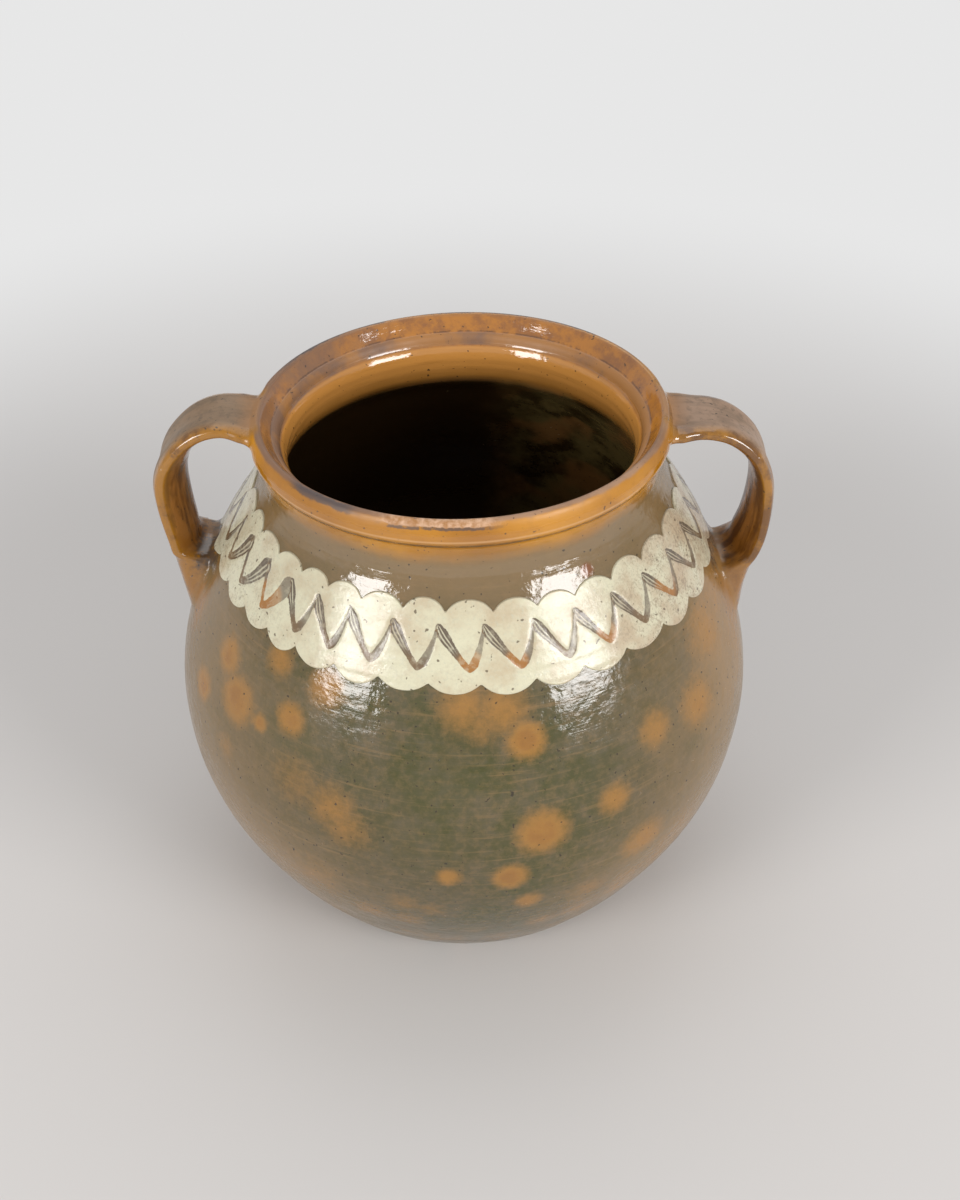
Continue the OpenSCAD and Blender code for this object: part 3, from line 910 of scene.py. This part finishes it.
glazeColours = {
    "green": (0.061, 0.06, 0.016), "olive": (0.086, 0.07, 0.029), "grey": (0.11, 0.088, 0.05),
    "umber": (0.225, 0.142, 0.062), "tan": (0.3, 0.178, 0.074),
    "redSpot": (0.22, 0.075, 0.03), "moss": (0.048, 0.056, 0.01),
    "spot": (0.33, 0.16, 0.034), "spotHeart": (0.245, 0.11, 0.026),
    "collar": (0.53, 0.225, 0.01), "collarDeep": (0.33, 0.13, 0.01), "groove": (0.16, 0.075, 0.022),
    "pale": (0.66, 0.4, 0.19), "slope": (0.43, 0.17, 0.024), "slopeDark": (0.27, 0.108, 0.03),
    "crease": (0.085, 0.04, 0.02), "seat": (0.36, 0.165, 0.05), "mauve": (0.212, 0.116, 0.068),
    "worn": (0.6, 0.375, 0.235), "bare": (0.36, 0.21, 0.125), "wornEdge": (0.055, 0.05, 0.055),
    "throat": (0.53, 0.24, 0.054), "throatLow": (0.36, 0.158, 0.03),
    "inside": (0.03, 0.016, 0.005), "insideGreen": (0.15, 0.108, 0.036),
    "insideSpot": (0.26, 0.12, 0.036), "speck": (0.025, 0.018, 0.012),
    "strap": (0.235, 0.15, 0.084), "strapPink": (0.33, 0.212, 0.138), "strapStain": (0.115, 0.08, 0.048),
    "strapEdge": (0.32, 0.138, 0.009), "strapEdgeDeep": (0.15, 0.059, 0.006),
    "strapInner": (0.115, 0.042, 0.006), "strapInnerWarm": (0.29, 0.116, 0.019),
    # foot is the smeared clay; the dark grey after it is painted shade in the straps' crotches
    "foot": (0.27, 0.12, 0.024), "dirt": (0.06, 0.048, 0.04),
}

# Zones along the wall, in millimetres from the lip's crest: outside is minus, inside is plus
glazeZones = {
    "collar": (-33.0, -19.0), "neck": (-34.0, -20.0), "groove": (-17.6, -14.8), "paleLine": (-13.2, -12.0),
    "rubbed": (-9.0, 2.2), "ragEdge": (-5.9, -4.5), "bareClay": (-4.6, 3.0), "stain": (-4.2, 0.4),
    "farEdge": (-3.0, 0.6), "crest": (-2.6, 2.2), "slope": (0.4, 2.0), "slopeShine": (2.5, 11.0),
    "crease": (11.4, 12.2), "seat": (12.4, 20.4), "dullSeat": (12.4, 19.0), "throat": (20.6, 22.0),
    "throatLow": (32.0, 46.0), "inside": (41.0, 51.0), "throatShine": (60.0, 46.0),
}

# Single marks on the wall: degrees round, height, half width, colour and strength
smudges = [(33.0, 287, 4.0, "redSpot", 0.85), (-3.0, 205, 26, "moss", 0.2), (-35.6, 201, 22, "moss", 0.2),
           (26.0, 196, 14, "moss", 0.15), (-8.0, 160, 24, "moss", 0.15)]


def dressPot(material, colours, zones):
    tree, shader, place = startMaterial(material)
    paint = partial(coat, colours)
    along, strap, spot, face, side = readMarks(tree, "along", "strap", "spot", "strapFace", "strapSide")
    x, y, z = splitXyz(place)
    outX, outY = compute("ABSOLUTE", x), compute("ABSOLUTE", y)
    turn = compute("ARCTAN2", x, times(y, -1.0))
    broad = grainy(place, 11.0, 3.0, 0.55, 1.0)
    patchy = grainy(place, 34.0, 4.0, 0.6, 2.0)
    cloudy = grainy(place, 70.0, 4.0, 0.65, 6.0)
    fine = grainy(place, 260.0, 4.0, 0.65, 3.0)
    grain = grainy(place, 900.0, 2.0, 0.6, 5.0)
    lines = grainy(stretched(place, 3.0, 3.0, 70.0), 6.0, 4.0, 0.65, 4.0)
    streaks = grainy(stretched(place, 1.0, 6.0, 1.0), 26.0, 4.0, 0.6, 8.0)

    # the wall: green and grey clouds on olive, browner towards the shoulder, the handles and the foot, with
    # tan on the lower sides that is partly painted bounce light
    sideways = frayed(outX, patchy, 0.07, 0.06, 0.175)
    nearStrap = times(frayed(x, patchy, 0.05, 0.115, 0.165), frayed(z, cloudy, 0.05, 0.125, 0.215))
    shoulder = frayed(z, patchy, 0.03, 0.252, 0.3)
    # tan on the lower sides: partly the glaze's tan, partly painted light bounced up from the table
    lowSideTanAndBounce = times(frayed(outX, patchy, 0.05, 0.02, 0.11), frayed(z, patchy, 0.05, 0.17, 0.09))
    low = times(frayed(z, lines, 0.05, 0.075, 0.045), ramp(cloudy, 0.4, 0.62))
    colour = paint(
        "green",
        (ramp(broad, 0.4, 0.6), "olive"),
        (ramp(cloudy, 0.3, 0.8), "grey"),
        (ramp(fine, 0.4, 0.72), "umber", 0.35),
        (ramp(lines, 0.52, 0.74), "green", 0.42),
        (ramp(lines, 0.46, 0.3), "tan", 0.3),
        (sideways, "umber", 0.85),
        (nearStrap, "tan", 0.8),
        (shoulder, "umber", 0.8),
        (lowSideTanAndBounce, "tan", 0.55),
        (low, "tan", 0.6))
    for angle, mark, half, name, strength in smudges:
        away = vectorMath("DISTANCE", place, tuple(onWall(angle, mark) * mm))
        share = ramp(shaken(away, cloudy, half * mm), 1.4 * half * mm, 0.5 * half * mm)
        colour = paint(colour, (share, name, strength))

    # ochre spots, soft at their edges and darker at heart
    ragged = shaken(shaken(shaken(spot, cloudy, 0.45), fine, 0.35), grain, 0.25)
    spotted = times(ramp(ragged, 0.08, 1.0), ramp(spot, 0.0, 0.25))
    heart = times(frayed(spot, cloudy, 0.7, 0.75, 1.05), 0.7)
    colour = paint(colour, (spotted, paint("spot", (heart, "spotHeart"))))

    # collar, painted shade as a dark line in its groove, and the pale line over it
    ochre = paint("collar", (ramp(broad, 0.35, 0.7), "collarDeep"),
                  (ramp(cloudy, 0.5, 0.72), "collarDeep", 0.5))
    groove = times(between(along, *zones["groove"], 0.9), ramp(cloudy, 0.3, 0.55, 0.45, 0.95))
    paleLine = times(between(along, *zones["paleLine"], 0.5), 0.45)
    colour = paint(colour, (frayed(along, patchy, 10.0, *zones["collar"]), ochre),
                   (groove, "groove"), (paleLine, "pale"))

    # the slope inside the lip, the lid seat with the crease over it, the throat and the inside
    left = frayed(x, patchy, 0.06, -0.03, -0.09)
    duller = shaken(patchy, ramp(x, 0.04, -0.09), 0.24)
    slope = paint("slope", (frayed(cloudy, fine, 0.5, 0.36, 0.66), "slopeDark"),
                  (times(left, ramp(duller, 0.4, 0.66), 0.7), "mauve"))
    seat = paint("seat", (ramp(duller, 0.46, 0.68), "mauve"))
    # a near-black line along the crease between slope and seat: painted shade in the crease
    crease = times(between(shaken(along, fine, 0.8), *zones["crease"], 0.5), 0.75,
                   frayed(cloudy, fine, 0.6, 0.38, 0.56))
    # the throat darkens lower down and the inside is near black: partly the dark inner glaze, partly painted
    # shade deeper in the pot; the green patches and ochre blobs are the glaze's own
    throat = paint("throat", (frayed(along, patchy, 8.0, *zones["throatLow"]), "throatLow"),
                   (ramp(lines, 0.5, 0.7), "throatLow", 0.4))
    rightInside = frayed(x, patchy, 0.03, 0.01, 0.06)
    blobs = times(ramp(grainy(place, 26.0, 2.0, 0.5, 12.0), 0.5, 0.66), rightInside, 0.75)
    inside = paint("inside", (times(rightInside, ramp(patchy, 0.35, 0.6)), "insideGreen"),
                   (blobs, "insideSpot"))
    colour = paint(
        colour,
        (frayed(along, cloudy, 2.0, *zones["slope"]), slope),
        (between(shaken(along, fine, 1.6), *zones["seat"], 0.8), seat),
        (crease, "crease"),
        (frayed(along, cloudy, 1.6, *zones["throat"]), throat),
        (frayed(along, lines, 5.0, *zones["inside"]), inside))

    # wear: bare mauve along the lip, tan with a ragged grey edge at the front, chips, dark stains
    nearSide = frayed(y, patchy, 0.05, 0.02, -0.05)
    crest = times(between(shaken(along, cloudy, 3.4), *zones["crest"], 1.0), most(left, nearSide, 0.3), 0.95)
    wornAt = shaken(shaken(along, cloudy, 3.6), fine, 3.0)
    atFront = between(shaken(turn, cloudy, 0.2), -0.36, 0.13, 0.07)
    bareClay = times(between(wornAt, *zones["bareClay"], 0.3), atFront, frayed(y, cloudy, 0.03, -0.08, -0.1))
    ragEdge = times(between(wornAt, *zones["ragEdge"], 0.35), atFront,
                    frayed(patchy, fine, 0.6, 0.38, 0.5), 0.75)
    farEdge = times(between(wornAt, *zones["farEdge"], 0.6), ramp(y, 0.03, 0.07), ramp(patchy, 0.4, 0.56))
    stain = times(between(wornAt, *zones["stain"], 0.7), between(turn, -0.86, -0.5, 0.06))
    colour = paint(
        colour,
        (crest, paint("bare", (left, "mauve"), (ramp(patchy, 0.3, 0.7), "mauve"))),
        (bareClay, paint("worn", (ramp(fine, 0.35, 0.7), "seat"))),
        (ragEdge, "wornEdge"),
        (most(farEdge, stain), "wornEdge", 0.8))

    # straps: dull brown outer face, thick shiny ochre edges, dark inner face
    lowFace = times(frayed(z, patchy, 0.05, 0.3, 0.262), 0.85)
    edged = most(frayed(side, cloudy, 0.25, 0.66, 0.92), ramp(face, 0.8, 0.35), lowFace)
    worse = shaken(cloudy, ramp(x, -0.1, 0.1), 0.1)
    footMark = times(frayed(z, cloudy, 0.03, 0.246, 0.226), ramp(streaks, 0.62, 0.4))
    strapColour = paint(
        "strap",
        (frayed(x, patchy, 0.03, 0.0, 0.02), "strapPink"),
        (ramp(streaks, 0.44, 0.68), "strapStain", 0.5),
        (ramp(cloudy, 0.5, 0.7), "strapStain", 0.4),
        (ramp(fine, 0.52, 0.68), "strapStain", 0.55),
        (frayed(outX, cloudy, 0.012, 0.128, 0.114), "seat", 0.7),
        (edged, paint("strapEdge", (ramp(worse, 0.42, 0.66), "strapEdgeDeep"))),
        (ramp(face, -0.35, -0.8), paint("strapInnerWarm", (ramp(streaks, 0.4, 0.62), "strapInner"))),
        (footMark, "foot"))

    # the clay smeared out at the straps' feet, painted shade as dark grey patches in the crotch behind them,
    # specks and pits
    smeared = times(between(shaken(z, cloudy, 0.04), 0.2, 0.252, 0.012),
                    frayed(outY, cloudy, 0.02, 0.046, 0.026),
                    ramp(outX, 0.128, 0.142), rest(strap), ramp(streaks, 0.66, 0.4), 0.9)
    # dark grey patches in the crotch between strap and wall: painted shade
    crotchShade = times(between(shaken(z, cloudy, 0.02), 0.233, 0.248, 0.005),
                   between(outX, 0.139, 0.156, 0.003), ramp(outY, 0.034, 0.022),
                   frayed(cloudy, fine, 0.8, 0.36, 0.6), 0.8)
    specks = ramp(grainy(place, 420.0, 1.0, 0.5, 9.0), 0.715, 0.76)
    pits = ramp(grainy(place, 230.0, 1.0, 0.5, 10.0), 0.785, 0.81)
    colour = paint(colour, (strap, strapColour), (smeared, "foot"), (crotchShade, "dirt"),
                   (most(specks, pits), "speck", 0.8))

    # satin glaze, shinier on collar, throat and strap edges, dull where it is worn away
    rubbed = times(between(shaken(along, cloudy, 2.0), *zones["rubbed"], 1.5), nearSide, 0.85)
    dull = most(times(strap, rest(edged), ramp(face, 0.0, 0.5)), bareClay, crest, rubbed,
                between(along, *zones["dullSeat"], 0.8))
    glossy = most(times(strap, edged, ramp(face, -0.6, -0.2)),
                  frayed(along, cloudy, 4.0, *zones["neck"]),
                  times(frayed(z, patchy, 0.04, 0.185, 0.27), ramp(outX, 0.095, 0.07)))
    glossy = times(glossy, frayed(along, cloudy, 4.0, *zones["throatShine"]), rest(dull))
    rough = minus(shaken(ramp(cloudy, 0.3, 0.7, 0.15, 0.26), fine, 0.12), times(glossy, 0.17),
                  times(between(along, *zones["slopeShine"], 0.8), 0.08))
    rough = plus(most(rough, 0.045), times(dull, 0.3))
    innerFace = times(strap, ramp(face, -0.2, -0.8))
    shine = times(ramp(glossy, 0.0, 1.0, 0.45, 0.85), ramp(innerFace, 0.0, 1.0, 1.0, 0.45))
    tree.links.new(shine, shader.inputs["Specular IOR Level"])
    height = plus(times(fine, 0.3), times(grain, 0.06), times(lines, 0.35),
                  times(grainy(place, 120.0, 2.5, 0.55, 11.0), 1.3))
    height = times(minus(height, times(pits, 0.6)), ramp(along, *zones["neck"], 1.0, 0.5))
    finishMaterial(shader, colour, rough, height, 0.32, 0.0012)


slipColours = {
    "cream": (0.63, 0.6, 0.435), "warm": (0.52, 0.435, 0.295), "cool": (0.52, 0.52, 0.4),
    "aged": (0.45, 0.33, 0.22), "speck": (0.13, 0.1, 0.065), "dirt": (0.24, 0.185, 0.125),
    "wiped": (0.135, 0.105, 0.075), "wipedEnd": (0.185, 0.12, 0.065), "wipedSpot": (0.34, 0.155, 0.045),
    # edge is the thin dark line painted as shade along the band's edges
    "edge": (0.13, 0.105, 0.05),
}


def dressSlip(material, colours):
    tree, shader, place = startMaterial(material)
    paint = partial(coat, colours)
    wipe, across, along = readMarks(tree, "wipe", "strokeAcross", "strokeAlong")
    edgeGap, spot = readMarks(tree, "edgeGap", "spot")
    x, y, z = splitXyz(place)
    patchy = grainy(place, 45.0, 4.0, 0.6, 1.0)
    cloudy = grainy(place, 130.0, 4.0, 0.6, 3.0)
    fine = grainy(place, 520.0, 4.0, 0.7, 2.0)
    shake = grainy(place, 600.0, 2.0, 0.6, 8.0)

    # cream, older and dirtier towards the handles
    sideways = most(ramp(x, 0.05, 0.118), ramp(x, -0.07, -0.135, 0.0, 0.6))
    crumbs = ramp(shaken(grainy(place, 700.0, 3.0, 0.75, 5.0), cloudy, 0.5), 0.47, 0.66)
    agedAt = times(ramp(x, 0.04, 0.11), ramp(patchy, 0.3, 0.62))
    specks = ramp(grainy(place, 330.0, 1.0, 0.5, 7.0), 0.7, 0.75)
    colour = paint(
        "cream",
        (ramp(patchy, 0.4, 0.72), "warm"),
        (ramp(fine, 0.5, 0.72), "cool", 0.6),
        (ramp(cloudy, 0.52, 0.72), "warm", 0.35),
        (agedAt, "aged", 0.65),
        (times(crumbs, ramp(sideways, 0.0, 1.0, 0.1, 0.6)), "dirt"),
        (specks, "speck", 0.85))

    # the wiped strokes: combed into hairs where the tool lands and, at the far left, where it lifts off
    stroke = frayed(wipe, shake, 0.8, 0.16, -0.22)
    bristle = shaken(shaken(times(across, 10.0), cloudy, 3.5), patchy, 6.0)
    hairs = times(ramp(compute("SINE", bristle), -0.2, 0.8), ramp(across, 0.75, 0.35))
    farLeft = ramp(compute("ARCTAN2", x, times(y, -1.0)), -0.86, -0.9)
    falling = frayed(along, cloudy, 0.2, 0.46, 0.2)
    rising = frayed(along, cloudy, 0.1, 0.72, 0.86)
    combed = times(hairs, blend(farLeft, falling, rising), 0.75)
    faint = times(rising, minus(0.25, times(farLeft, 0.25)))
    thin = times(ramp(shaken(grainy(place, 260.0, 3.0, 0.6, 9.0), cloudy, 0.4), 0.46, 0.66), 0.3)
    stroke = times(stroke, rest(combed), rest(faint), rest(thin))
    atFoot = between(shaken(along, cloudy, 0.3), 0.4, 0.74, 0.1)
    bare = paint("wiped", (atFoot, "wipedEnd"), (ramp(spot, 0.12, 0.6), "wipedSpot"))
    # a thin dark line painted along the band's edges: painted shade where the raised slip meets the wall
    rim = times(frayed(edgeGap, shake, 0.3, 0.45, 0.08), 0.35)
    colour = paint(colour, (stroke, bare), (rim, "edge"))
    rough = ramp(cloudy, 0.3, 0.7, 0.13, 0.27)
    finishMaterial(shader, colour, rough, plus(times(fine, 0.35), cloudy), 0.3, 0.001)


dressPot(potGlaze, glazeColours, glazeZones)
dressSlip(slipGlaze, slipColours)
print("glazes mixed")

for piece, slotName in ((pot, "glaze"), (band, "slip")):
    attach(piece, "root")
    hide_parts("pot")
